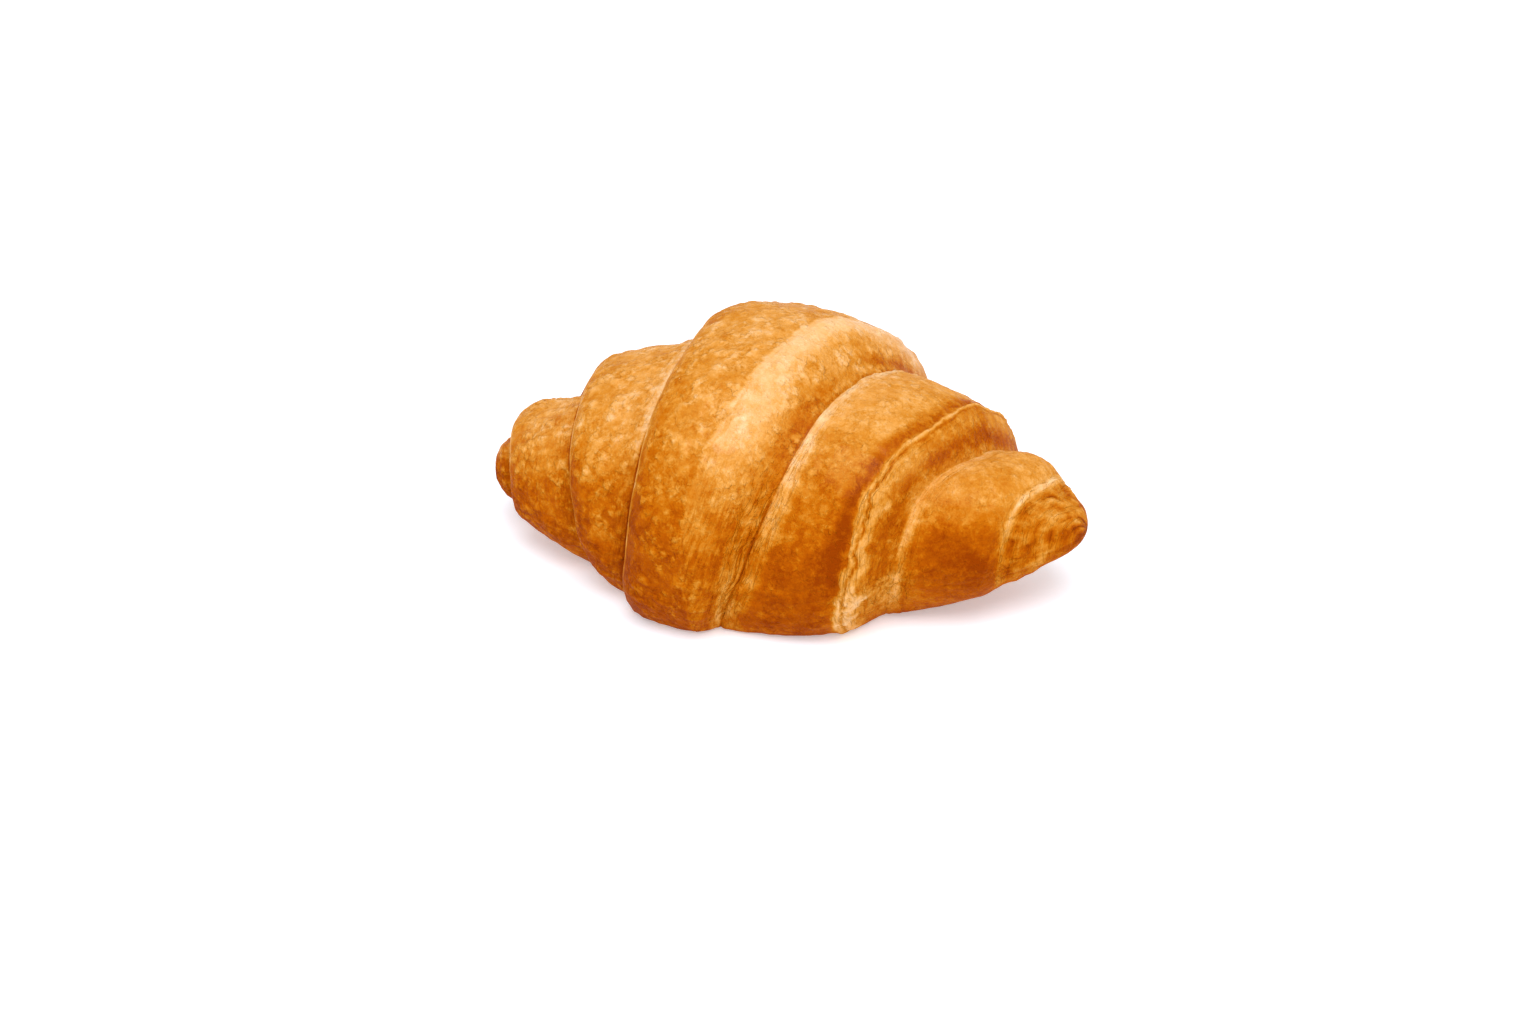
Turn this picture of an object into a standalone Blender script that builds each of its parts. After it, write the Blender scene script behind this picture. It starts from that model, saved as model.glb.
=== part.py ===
# A butter croissant: one triangle of laminated dough rolled up from its base to its point,
# bent a little, proved and baked on a tray. The roll lies along X, the front faces -Y.
#
# Every place on the crust is named by two numbers:
#   along  - the distance from the middle of the roll, towards one tip (metres)
#   around - the angle about the roll, 0 on top, a quarter turn at the front, half a turn below
#
# The rolled sheet is followed from its point, which ends up underneath. At a given
# angle "wound" back from the point the sheet has two edges, one towards each tip.
# Each edge drops onto the layer below it, and so makes one fold line that winds
# three times round the roll before it runs off the tip.

import math

import bmesh
import bpy
import numpy as np

MM = 0.001
TURN = 2.0 * math.pi

# ---- the roll ----
LEFT_LENGTH = 61.0 * MM
RIGHT_LENGTH = 79.2 * MM
# how plump the roll is: radius at stations counted from the left tip
STATIONS = (0.0, 5.2, 14.3, 26.0, 39.0, 52.0, 65.0, 80.0, 95.1, 110.1, 123.7, 134.2, 140.2)
FULLNESS = (0.0, 12.8, 20.6, 29.9, 36.9, 44.7, 46.2, 44.1, 38.5, 29.4, 20.5, 10.2, 0.0)
TIP_ROUNDING = 2.2

# ---- the cross-section: a tall dome on a flat foot ----
WIDTH_SHARE = 0.985
DOME_SHARE = 0.91
FOOT_SHARE = 0.62
DOME_SQUARENESS = 2.25
FOOT_SQUARENESS = 2.0
CENTRE_HEIGHT = 16.5 * MM
FOOT_FILLET = 1.5 * MM
FOOT_SPREAD = TURN / 6.0

# ---- the bend of the roll ----
LEFT_TIP_RISE = -2.3 * MM
RIGHT_TIP_RISE = 2.1 * MM
TIP_SWEEP = 1.6 * MM

# ---- the edges of the rolled sheet, one number each sixth of a turn from its point ----
LEFT_EDGE = (0.0, 17.7, 14.8, 13.4, 15.8, 18.8, 21.0, 28.7, 34.5, 38.7,
             47.5, 50.8, 50.7, 52.0, 54.2, 57.5, 60.5, 62.5, 65.0)
RIGHT_EDGE = (0.0, 6.5, 17.4, 26.2, 37.2, 38.6, 37.2, 40.8, 44.7, 55.2,
              60.5, 61.4, 62.0, 63.6, 65.3, 70.8, 72.6, 75.5, 78.5)
# width of the rounded lip beside each edge, at the same places
LEFT_LIP = (3.0, 9.0, 13.5, 14.0, 14.0, 13.0, 12.0, 11.5, 11.0, 11.0,
            10.0, 9.0, 8.0, 7.0, 6.0, 6.0, 5.0, 5.0, 5.0)
RIGHT_LIP = (3.0, 6.0, 16.0, 14.5, 8.0, 8.0, 8.5, 9.8, 7.8, 6.8,
             5.5, 5.0, 5.0, 4.5, 4.0, 4.0, 4.0, 4.0, 4.0)
FOLD_DEPTH = 7.4 * MM
# how much of that depth is left at the last fold, near the right tip
TIP_FOLD_SHARE = 0.22
FOLD_GROWTH = 0.32 * TURN
THIN_END = 18.6 * MM

# ---- how finely the crust is drawn ----
COLUMNS = 60
SKIN_ROWS = (6, 6, 5)
LIP_ROWS = (5, 4, 3)
END_ROWS = 5

CRUST_COLOUR = (0.56, 0.24, 0.055, 1.0)
CRUST_ROUGHNESS = 0.45


def flowing_curve(stations, values, where):
    """A smooth curve through the values that never swings past them."""
    x = np.asarray(stations, float)
    y = np.asarray(values, float)
    step = np.diff(x)
    rise = np.diff(y) / step
    lean = np.zeros_like(y)
    lean[0] = rise[0]
    lean[-1] = rise[-1]
    for i in range(1, len(y) - 1):
        if rise[i - 1] * rise[i] > 0.0:
            first = 2.0 * step[i] + step[i - 1]
            second = step[i] + 2.0 * step[i - 1]
            lean[i] = (first + second) / (first / rise[i - 1] + second / rise[i])
    at = np.clip(where, x[0], x[-1])
    i = np.clip(np.searchsorted(x, at, side="right") - 1, 0, len(x) - 2)
    t = (at - x[i]) / step[i]
    start = (1.0 + 2.0 * t) * (1.0 - t) ** 2 * y[i] + t * (1.0 - t) ** 2 * step[i] * lean[i]
    finish = t * t * (3.0 - 2.0 * t) * y[i + 1] - t * t * (1.0 - t) * step[i] * lean[i + 1]
    return start + finish


def ease(t):
    t = np.clip(t, 0.0, 1.0)
    return t * t * (3.0 - 2.0 * t)


def fullness(along):
    """Radius of the plump roll, before any fold is pressed into it."""
    from_left_tip = (along + LEFT_LENGTH) / MM
    rounded = flowing_curve(STATIONS, np.power(FULLNESS, TIP_ROUNDING), from_left_tip)
    return np.maximum(rounded, 0.0) ** (1.0 / TIP_ROUNDING) * MM


def edge_reach(left_side, wound):
    sixths = np.arange(len(LEFT_EDGE)) * TURN / 6.0
    left = flowing_curve(sixths, LEFT_EDGE, wound)
    right = flowing_curve(sixths, RIGHT_EDGE, wound)
    return np.where(left_side, left, right) * MM


def lip_width(left_side, wound):
    sixths = np.arange(len(LEFT_LIP)) * TURN / 6.0
    left = flowing_curve(sixths, LEFT_LIP, wound)
    right = flowing_curve(sixths, RIGHT_LIP, wound)
    return np.where(left_side, left, right) * MM


def fold_depth(left_side, wound):
    towards_tip = ease((wound / TURN - 1.7) / 0.5)
    thinning = np.where(left_side, 0.0, (1.0 - TIP_FOLD_SHARE) * towards_tip)
    return FOLD_DEPTH * ease(wound / FOLD_GROWTH) * (1.0 - thinning)


def foot_press(around):
    """The folds fade out under the roll, where its weight presses them flat."""
    return ease(np.abs(np.mod(around, TURN) - math.pi) / FOOT_SPREAD)


def folded_radius(along, around):
    """Radius of the crust: the plump roll, less the lips and the tucks beside each fold."""
    plump = fullness(along)
    left_side = along < 0.0
    reach = np.abs(along)
    wound = np.mod(math.pi - around, TURN)
    folds = [edge_reach(left_side, wound + TURN * turn) for turn in range(3)]
    layer = sum((reach > fold).astype(int) for fold in folds)
    folds.append(np.full_like(reach, 0.2))
    own = np.choose(layer, folds)
    above = np.choose(np.maximum(layer - 1, 0), folds)
    own_wound = wound + TURN * layer
    above_wound = np.maximum(wound + TURN * (layer - 1), 0.0)
    softening = np.clip(plump / THIN_END, 0.0, 1.0) * foot_press(around)
    curl = np.clip(1.0 - (own - reach) / lip_width(left_side, own_wound), 0.0, 1.0)
    lip = fold_depth(left_side, own_wound) * (1.0 - np.sqrt(1.0 - curl ** 2))
    lip = np.where(layer < 3, lip, 0.0)
    span = np.where(layer < 3, own - above, 12.0 * MM)
    tuck = np.clip(1.0 - (reach - above) / np.maximum(span, MM), 0.0, 1.0) ** 1.6
    tuck = np.where(layer > 0, fold_depth(left_side, above_wound) * tuck, 0.0)
    return np.maximum(plump - (lip + tuck) * softening, 0.0)


def rest_on_tray(height):
    rounded = (height + FOOT_FILLET) ** 2 / (4.0 * FOOT_FILLET)
    above = np.where(height > FOOT_FILLET, height, rounded)
    return np.where(height < -FOOT_FILLET, 0.0, above)


def crust_points(along, around):
    """Places on the crust for matching arrays of along and around."""
    radius = folded_radius(along, around)
    share = np.where(along < 0.0, -along / LEFT_LENGTH, along / RIGHT_LENGTH)
    rise = np.where(along < 0.0, LEFT_TIP_RISE, RIGHT_TIP_RISE) * share ** 2
    side = np.sin(around)
    lift = np.cos(around)
    out = np.sign(side) * np.abs(side) ** (2.0 / DOME_SQUARENESS)
    dome = DOME_SHARE * np.abs(lift) ** (2.0 / DOME_SQUARENESS)
    foot = -FOOT_SHARE * np.abs(lift) ** (2.0 / FOOT_SQUARENESS)
    y = TIP_SWEEP * share ** 2 - WIDTH_SHARE * radius * out
    z = CENTRE_HEIGHT + rise + radius * np.where(lift > 0.0, dome, foot)
    return np.stack([along, y, rest_on_tray(z)], axis=-1)


def fold_knots(left_side, around, length):
    """Where the lips start and end along one column; eased across the hidden foot."""
    wound = np.mod(math.pi - around, TURN)
    margin = TURN / 12.0

    def knots_at(angle):
        marks = [0.0]
        for turn in range(3):
            end = float(edge_reach(left_side, angle + TURN * turn))
            width = float(lip_width(left_side, angle + TURN * turn))
            end = min(end, length * (0.90 + 0.03 * turn))
            marks.append(max(end - width, marks[-1] + 0.8 * MM))
            marks.append(max(end, marks[-1] + 0.8 * MM))
        marks.append(length)
        return np.array(marks)

    if margin < wound < TURN - margin:
        return knots_at(wound)
    travelled = (wound + margin) % TURN / (2.0 * margin)
    late = knots_at(TURN - margin)
    early = knots_at(margin)
    return late + (early - late) * float(ease(travelled))


def column_of_stations(around):
    """Distances along the roll for one column, closer together on the lips."""
    halves = []
    for left_side, length in ((True, LEFT_LENGTH), (False, RIGHT_LENGTH)):
        knots = fold_knots(left_side, around, length)
        rows = []
        for turn in range(3):
            rows += [SKIN_ROWS[turn], LIP_ROWS[turn]]
        rows.append(END_ROWS)
        marks = [0.0]
        for start, finish, count in zip(knots[:-1], knots[1:], rows):
            for i in range(1, count + 1):
                part = i / count
                if count == END_ROWS and finish == length:
                    part = math.sin(part * TURN / 4.0)
                marks.append(start + (finish - start) * part)
        halves.append(marks)
    left = [-mark for mark in reversed(halves[0])]
    return left + halves[1][1:]


def build_crust():
    around = np.arange(COLUMNS) / COLUMNS * TURN
    along = np.array([column_of_stations(angle) for angle in around])
    grid = crust_points(along, around[:, None] * np.ones_like(along))
    rows = along.shape[1]
    crust = bmesh.new()
    rings = []
    for row in range(1, rows - 1):
        rings.append([crust.verts.new(grid[column, row]) for column in range(COLUMNS)])
    tips = [crust.verts.new(grid[:, row].mean(axis=0)) for row in (0, rows - 1)]
    for ring, following in zip(rings[:-1], rings[1:]):
        for i in range(COLUMNS):
            j = (i + 1) % COLUMNS
            crust.faces.new((ring[i], ring[j], following[j], following[i]))
    for i in range(COLUMNS):
        j = (i + 1) % COLUMNS
        crust.faces.new((tips[0], rings[0][j], rings[0][i]))
        crust.faces.new((tips[1], rings[-1][i], rings[-1][j]))
    bmesh.ops.recalc_face_normals(crust, faces=crust.faces)
    return crust


def set_on_origin(crust):
    """Middle of the footprint on the origin, foot on the tray."""
    places = np.array([vertex.co[:] for vertex in crust.verts])
    low = places.min(axis=0)
    high = places.max(axis=0)
    shift = ((low[0] + high[0]) / 2.0, (low[1] + high[1]) / 2.0, low[2])
    for vertex in crust.verts:
        vertex.co.x -= shift[0]
        vertex.co.y -= shift[1]
        vertex.co.z -= shift[2]


def crust_material():
    material = bpy.data.materials.new("crust")
    material.use_nodes = True
    shader = material.node_tree.nodes["Principled BSDF"]
    shader.inputs["Base Color"].default_value = CRUST_COLOUR
    shader.inputs["Roughness"].default_value = CRUST_ROUGHNESS
    shader.inputs["Metallic"].default_value = 0.0
    return material


for old in list(bpy.data.objects):
    bpy.data.objects.remove(old, do_unlink=True)

crust = build_crust()
set_on_origin(crust)
mesh = bpy.data.meshes.new("croissant")
crust.to_mesh(mesh)
crust.free()
for polygon in mesh.polygons:
    polygon.use_smooth = True
mesh.materials.append(crust_material())
croissant = bpy.data.objects.new("croissant", mesh)
bpy.context.scene.collection.objects.link(croissant)
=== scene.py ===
# %% [markdown]
# # A butter croissant, freshly baked
#
# A croissant is one long triangle of laminated dough, rolled up from its base to its
# point. Everything that makes it look like a croissant comes from that: the stepped
# wraps, the pale stretched sides, the thin leaves that show where the dough was cut.
# So this lesson builds the crust from the roll itself, then bakes it with colour.
#
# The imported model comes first. It is the ruler: the crust must sit in the same box.

# %% Load the frame
import math

import bpy
import numpy as np
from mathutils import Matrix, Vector


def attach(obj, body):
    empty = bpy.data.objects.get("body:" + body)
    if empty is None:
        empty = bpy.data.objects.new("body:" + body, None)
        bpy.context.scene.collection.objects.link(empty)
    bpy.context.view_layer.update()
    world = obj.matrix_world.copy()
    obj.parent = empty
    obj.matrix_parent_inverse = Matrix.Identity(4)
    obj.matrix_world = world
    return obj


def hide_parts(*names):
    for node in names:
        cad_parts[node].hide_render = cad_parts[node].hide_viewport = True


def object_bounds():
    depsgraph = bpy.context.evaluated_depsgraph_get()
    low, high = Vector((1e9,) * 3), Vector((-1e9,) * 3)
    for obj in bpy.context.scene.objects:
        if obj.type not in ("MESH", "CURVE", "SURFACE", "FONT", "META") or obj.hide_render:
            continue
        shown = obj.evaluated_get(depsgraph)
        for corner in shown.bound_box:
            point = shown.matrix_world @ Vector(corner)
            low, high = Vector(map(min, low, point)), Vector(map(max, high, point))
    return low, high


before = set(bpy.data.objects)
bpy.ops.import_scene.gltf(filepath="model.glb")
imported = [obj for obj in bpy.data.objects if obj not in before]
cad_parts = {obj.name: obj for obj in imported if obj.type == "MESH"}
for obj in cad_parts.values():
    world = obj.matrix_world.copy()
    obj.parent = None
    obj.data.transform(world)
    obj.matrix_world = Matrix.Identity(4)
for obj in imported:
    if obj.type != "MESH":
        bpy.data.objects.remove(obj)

cad_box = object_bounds()
print("box of the model:", [[round(v * 1000, 1) for v in corner] for corner in cad_box])

# %% [markdown]
# ## The sizes of the roll
#
# The roll lies along X and its front faces -Y. Two numbers name every place on the
# crust: how far *along* the roll it is, and its angle *around* the roll, 0 on top and a
# quarter turn at the front. The dough's point is underneath. Going back from the point,
# the sheet gets wider, and its two edges wind outwards to the two tips.
#
# One number each sixth of a turn is enough for an edge, because a rolled edge is a
# smooth spiral. Typing in every fold as its own curve would be longer, and the folds
# would not join up behind and below.

# %% Sizes in millimetres
MM = 0.001
TURN = 2.0 * math.pi

LEFT_LENGTH, RIGHT_LENGTH = 61.0, 79.2
STATIONS = (0.0, 5.2, 14.3, 26.0, 39.0, 52.0, 65.0, 80.0, 95.1, 110.1, 123.7, 134.2, 140.2)
FULLNESS = (0.0, 12.8, 20.6, 29.9, 36.9, 44.7, 46.2, 44.1, 38.5, 29.4, 20.5, 10.2, 0.0)
TIP_ROUNDING = 2.2

WIDTH_SHARE, DOME_SHARE, FOOT_SHARE = 0.985, 0.91, 0.62
DOME_SQUARENESS, FOOT_SQUARENESS = 2.25, 2.0
CENTRE_HEIGHT, FOOT_FILLET, FOOT_SPREAD = 16.5, 1.5, TURN / 6.0
LEFT_TIP_RISE, RIGHT_TIP_RISE, TIP_SWEEP = -2.3, 2.1, 1.6

LEFT_EDGE = (0.0, 17.7, 14.8, 13.4, 15.8, 18.8, 21.0, 28.7, 34.5, 38.7,
             47.5, 50.8, 50.7, 52.0, 54.2, 57.5, 60.5, 62.5, 65.0)
RIGHT_EDGE = (0.0, 6.5, 17.4, 26.2, 37.2, 38.6, 37.2, 40.8, 44.7, 55.2,
              60.5, 61.4, 62.0, 63.6, 65.3, 70.8, 72.6, 75.5, 78.5)
LEFT_LIP = (3.0, 9.0, 13.5, 14.0, 14.0, 13.0, 12.0, 11.5, 11.0, 11.0,
            10.0, 9.0, 8.0, 7.0, 6.0, 6.0, 5.0, 5.0, 5.0)
RIGHT_LIP = (3.0, 6.0, 16.0, 14.5, 8.0, 8.0, 8.5, 9.8, 7.8, 6.8,
             5.5, 5.0, 5.0, 4.5, 4.0, 4.0, 4.0, 4.0, 4.0)
FOLD_DEPTH, FOLD_GROWTH, THIN_END = 7.4, 0.32 * TURN, 18.6
TIP_FOLD_SHARE, TIP_FOLD_START, TIP_FOLD_FADE = 0.22, 1.7, 0.5
print("roll:", LEFT_LENGTH + RIGHT_LENGTH, "mm long, fullest radius", max(FULLNESS), "mm")

# %% [markdown]
# ## Curves through a few numbers
#
# A baker's measurements are a handful of numbers, so a curve has to flow through them
# without swinging past them. This is the usual monotone cubic: each span leans the way
# its neighbours do. `ease` is the gentle S that starts and stops softly.

# %% Flowing curve and ease
def flowing_curve(stations, values, where):
    x = np.asarray(stations, float)
    y = np.asarray(values, float)
    step = np.diff(x)
    rise = np.diff(y) / step
    lean = np.zeros_like(y)
    lean[0], lean[-1] = rise[0], rise[-1]
    for i in range(1, len(y) - 1):
        if rise[i - 1] * rise[i] > 0.0:
            first = 2.0 * step[i] + step[i - 1]
            second = step[i] + 2.0 * step[i - 1]
            lean[i] = (first + second) / (first / rise[i - 1] + second / rise[i])
    at = np.clip(where, x[0], x[-1])
    i = np.clip(np.searchsorted(x, at, side="right") - 1, 0, len(x) - 2)
    t = (at - x[i]) / step[i]
    start = (1.0 + 2.0 * t) * (1.0 - t) ** 2 * y[i] + t * (1.0 - t) ** 2 * step[i] * lean[i]
    finish = t * t * (3.0 - 2.0 * t) * y[i + 1] - t * t * (1.0 - t) * step[i] * lean[i + 1]
    return start + finish


def ease(t):
    t = np.clip(t, 0.0, 1.0)
    return t * t * (3.0 - 2.0 * t)


print("ease at a quarter:", float(ease(0.25)))

# %% [markdown]
# ## The sheet: edges, lips and folds
#
# `wound` says how far back from the dough's point a place is, in radians of roll. Each
# edge of the sheet ends in a lip that rounds over and drops onto the layer below. That
# drop is the fold. It starts from nothing at the point and reaches its full depth a
# third of a turn later, so the spiral has no sudden start.

# %% Edges and folds
SIXTHS = np.arange(len(LEFT_EDGE)) * TURN / 6.0


def of_its_side(left_side, left_values, right_values, wound):
    left, right = flowing_curve(SIXTHS, left_values, wound), flowing_curve(SIXTHS, right_values, wound)
    return np.where(left_side, left, right)


def edge_reach(left_side, wound):
    return of_its_side(left_side, LEFT_EDGE, RIGHT_EDGE, wound)


def lip_width(left_side, wound):
    return of_its_side(left_side, LEFT_LIP, RIGHT_LIP, wound)


def fold_depth(left_side, wound):
    near_tip = ease((wound / TURN - TIP_FOLD_START) / TIP_FOLD_FADE)
    thinning = np.where(left_side, 0.0, (1.0 - TIP_FOLD_SHARE) * near_tip)
    return FOLD_DEPTH * ease(wound / FOLD_GROWTH) * (1.0 - thinning)


def fullness(along):
    rounded = flowing_curve(STATIONS, np.power(FULLNESS, TIP_ROUNDING), along + LEFT_LENGTH)
    return np.maximum(rounded, 0.0) ** (1.0 / TIP_ROUNDING)


on_top = [round(float(edge_reach(False, TURN * (0.5 + turn))), 1) for turn in range(3)]
print("right-hand folds on top at:", on_top, "mm")

# %% [markdown]
# ## Rows and columns that follow the folds
#
# A crease only looks sharp when a line of vertices runs along it. So each column of the
# crust is divided at its own folds: so many rows on the skin, so many on the lip, and
# again for the next layer. Under the foot, where the weight of the roll presses the
# folds flat and nobody looks, the rows ease back to where the next turn starts.

# %% Spacing of the rows and columns
COLUMNS = 300
LEFT_ROWS = (8, 36, 26, 28, 22, 14, 9)
RIGHT_ROWS = (22, 42, 42, 26, 26, 12, 15)
ROWS = sum(LEFT_ROWS) + sum(RIGHT_ROWS)
FOOT_MARGIN = TURN / 12.0
LAST_FOLD, FOLD_STEP, LEAST_SPAN = 0.90, 0.03, 0.8


def fold_knots(left_side, around, length):
    wound = (math.pi - around) % TURN

    def knots_at(angle):
        marks = [0.0]
        for turn in range(3):
            end = float(edge_reach(left_side, angle + TURN * turn))
            end = min(end, length * (LAST_FOLD + FOLD_STEP * turn))
            width = float(lip_width(left_side, angle + TURN * turn))
            marks.append(max(end - width, marks[-1] + LEAST_SPAN))
            marks.append(max(end, marks[-1] + LEAST_SPAN))
        return np.array(marks + [length])

    if FOOT_MARGIN < wound < TURN - FOOT_MARGIN:
        return knots_at(wound)
    travelled = (wound + FOOT_MARGIN) % TURN / (2.0 * FOOT_MARGIN)
    late, early = knots_at(TURN - FOOT_MARGIN), knots_at(FOOT_MARGIN)
    return late + (early - late) * float(ease(travelled))


def column_angle(share):
    """Few columns under the foot, many over the crust that shows."""
    return np.interp(share, (0.0, 0.44, 0.56, 1.0), (0.0, TURN / 3.0, TURN * 2.0 / 3.0, TURN))


def station_table():
    table = np.zeros((COLUMNS, ROWS + 1))
    halves = ((True, LEFT_LENGTH, LEFT_ROWS), (False, RIGHT_LENGTH, RIGHT_ROWS))
    for column in range(COLUMNS):
        around = float(column_angle(column / COLUMNS))
        for left_side, length, rows in halves:
            counts = np.concatenate([[0], np.cumsum(rows)])
            marks = np.interp(np.arange(counts[-1] + 1), counts, fold_knots(left_side, around, length))
            last = counts[-2]
            t = (np.arange(last, counts[-1] + 1) - last) / rows[-1]
            marks[last:] = marks[last] + (length - marks[last]) * np.sin(t * TURN / 4.0)
            if left_side:
                table[column, : counts[-1] + 1] = -marks[::-1]
            else:
                table[column, sum(LEFT_ROWS):] = marks
    return table


stations = station_table()
print("rows:", ROWS, "columns:", COLUMNS, "triangles:", (ROWS - 2) * COLUMNS * 2 + 2 * COLUMNS)

# %% [markdown]
# ## From a flat sheet to a rolled crust
#
# A croissant starts as a flat sheet, and so does this one: a grid with a row of
# vertices for each place along the roll and a column for each angle around it. Every
# vertex is then carried to its own place on the crust, which rolls the sheet into a
# closed body. Sculpting the wraps by hand would give one croissant; carrying the
# vertices by rule gives sharp folds that really wind round the roll.

# %% Lay out a flat sheet
for old in bpy.context.selected_objects:
    old.select_set(False)

bpy.ops.mesh.primitive_grid_add(x_subdivisions=ROWS, y_subdivisions=COLUMNS, size=2.0)
crust = bpy.context.object
crust.name = crust.data.name = "croissant_crust"

sheet = np.empty(len(crust.data.vertices) * 3)
crust.data.vertices.foreach_get("co", sheet)
sheet = sheet.reshape(-1, 3)
row = np.rint((sheet[:, 0] + 1.0) / 2.0 * ROWS).astype(int)
column = np.rint((sheet[:, 1] + 1.0) / 2.0 * COLUMNS).astype(int)
around = column_angle(column / COLUMNS)
along = stations[column % COLUMNS, row]
print("vertices:", len(sheet), "rows used:", row.min(), row.max())

# %% [markdown]
# ## Where each vertex stands among the layers
#
# For every vertex: which layer of the roll it is on, how far it is from the edge of its
# own layer (`to_edge`), how far it has come out from under the layer above (`from_fold`),
# and how far over the rounded lip it is (`curl`, 0 on the skin and 1 down in the fold).
# The shape, the flakes and the baking colours all read these same four measures, which
# is what keeps colour and form together.

# %% Measure the layers
JUST_PAST, FAR_OFF, BEYOND_THE_TIPS = 1e-6, 60.0, 200.0

left_side = along < 0.0
reach = np.abs(along)
wound = np.mod(math.pi - around, TURN)
folds = [edge_reach(left_side, wound + TURN * turn) for turn in range(3)]
layer = sum((reach > fold + JUST_PAST).astype(int) for fold in folds)
folds.append(np.full_like(reach, BEYOND_THE_TIPS))
own = np.choose(layer, folds)
above = np.choose(np.maximum(layer - 1, 0), folds)
own_wound = wound + TURN * layer
above_wound = np.maximum(wound + TURN * (layer - 1), 0.0)
to_edge = np.minimum(own - reach, FAR_OFF)
from_fold = np.where(layer > 0, reach - above, FAR_OFF)
lip = lip_width(left_side, own_wound)
curl = np.clip(1.0 - to_edge / lip, 0.0, 1.0)
pressed = ease(np.abs(around - math.pi) / FOOT_SPREAD)
plump = fullness(along)
softening = np.clip(plump / THIN_END, 0.0, 1.0) * pressed
print("vertices in each layer:", [int((layer == n).sum()) for n in range(4)])

# %% [markdown]
# ## Uneven by hand
#
# No roll is even. Slow noise makes the wraps swell and sag by half a millimetre or so,
# and faster noise puckers the skin. The noise is worked out for all the vertices at
# once: each corner of a grid holds an arrow, and a place between corners blends the
# slopes of the eight arrows round it. It is read at the place on the plump roll, so
# nothing repeats and nothing shows a seam. `bubble` is where steam lifted the skin:
# noise with everything but its peaks cut away.

# %% Noise on the roll
GRID, STRENGTH = 32, 1.6
SEED_STEP = np.array((7.31, 3.77, 5.13))
ARROWS = np.random.RandomState(11).normal(size=(GRID, GRID, GRID, 3))
ARROWS /= np.linalg.norm(ARROWS, axis=-1, keepdims=True)
plump_roll = np.stack([along, -plump * np.sin(around), plump * np.cos(around)], axis=1)


def cloud(size, seed):
    """Smooth noise, about -1 to 1, with features of that size in millimetres."""
    spot = plump_roll / size + seed * SEED_STEP
    cell = np.floor(spot).astype(int)
    inside = spot - cell
    blend = inside ** 3 * (inside * (inside * 6.0 - 15.0) + 10.0)
    value = np.zeros(len(spot))
    for corner in np.ndindex(2, 2, 2):
        arrow = ARROWS[tuple(((cell + corner) % GRID).T)]
        weight = np.prod(np.where(np.array(corner) == 1, blend, 1.0 - blend), axis=1)
        value += weight * np.sum(arrow * (inside - corner), axis=1)
    return value * STRENGTH


def between(value, low, high):
    """0 up to low, 1 from high on, and a soft step between them."""
    return ease((value - low) / (high - low))


swell = cloud(17.0, 1) + 0.5 * cloud(9.0, 2)
pucker = cloud(4.2, 3) + 0.5 * cloud(2.3, 6)
ragged = cloud(9.0, 4) + 0.45 * cloud(3.0, 5) + 0.45 * cloud(1.2, 7)
bubble = between(cloud(3.1, 8) + 0.45 * cloud(1.5, 9), 0.02, 0.60)
print("swell from", round(float(swell.min()), 2), "to", round(float(swell.max()), 2))

# %% [markdown]
# ## Names for the places on the crust
#
# Baking and tearing are not the same all over, so each wrap gets a name. The right-hand
# side shows four: the middle wrap, the swollen second wrap, the third wrap and the tip.
# The left-hand side has three stepped wraps and a small nub. `degrees` is the angle down
# from the top, the same in front and behind. `over_lip` is 0 where a wrap starts to
# round over its edge and 1 in the fold. `showing` fades out under the roll, where the
# folds are pressed flat and all the layers bake alike.

# %% Name the wraps
def fading(value, low, high):
    """1 up to low, 0 from high on, and a soft step between them."""
    return 1.0 - between(value, low, high)


right_side = ~left_side
middle_wrap, second_wrap = right_side & (layer == 0), right_side & (layer == 1)
third_wrap, tip_wrap = right_side & (layer == 2), right_side & (layer == 3)
left_wraps, left_tip = left_side & (layer < 3), left_side & (layer == 3)

signed_angle = np.mod(around + math.pi, TURN) - math.pi
degrees = np.degrees(np.abs(signed_angle))
upper = fading(degrees, 25.0, 75.0)
down_side = between(degrees, 17.0, 63.0)
low = between(degrees, 74.0, 98.0)
showing = fading(degrees, 112.0, 158.0)

ragged_edge = to_edge + 0.45 * ragged
ragged_fold = from_fold + 0.55 * cloud(4.0, 12) + 0.35 * cloud(1.4, 13)
over_lip = 1.0 - ragged_edge / lip
print("vertices on the second wrap:", int(second_wrap.sum()), "on the tip:", int(tip_wrap.sum()))

# %% [markdown]
# ## The thin leaves of the cut edge
#
# Butter between the layers makes the cut edge of the dough open into leaves. On the
# right-hand side of each wrap they show as low cords that run beside the fold, with
# cracks between them. Each cord is a hump across the lip. Its distance from the fold is
# made ragged by noise, and its height comes and goes, as real flakes do. All of them
# add up in `leaf`, a height in millimetres that is laid on the crust later.
#
# On the middle wrap the leaves are faint: a fringe where the pale band starts, and
# flakes low on the lip, spaced like the grooves of a shell.

# %% Middle wrap: the fringe
FLAKE_SPACING = 1.9


def hump(value, middle, width):
    return np.exp(-((value - middle) / width) ** 2)


def only_on(wrap, amount):
    return np.where(wrap, amount, 0.0)


leaf = np.zeros_like(along)
patchy = np.clip(0.75 + 0.9 * ragged, 0.1, 1.3)
fringe = over_lip - 0.035 * cloud(5.0, 20) - 0.022 * cloud(1.7, 21)
first_leaf = 0.05 * hump(fringe, 0.02, 0.022) - 0.06 * hump(fringe, 0.065, 0.018)
next_leaves = 0.14 * hump(fringe, 0.11, 0.020) + 0.10 * hump(fringe, 0.19, 0.020)
leaf += only_on(middle_wrap, first_leaf + next_leaves)

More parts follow.
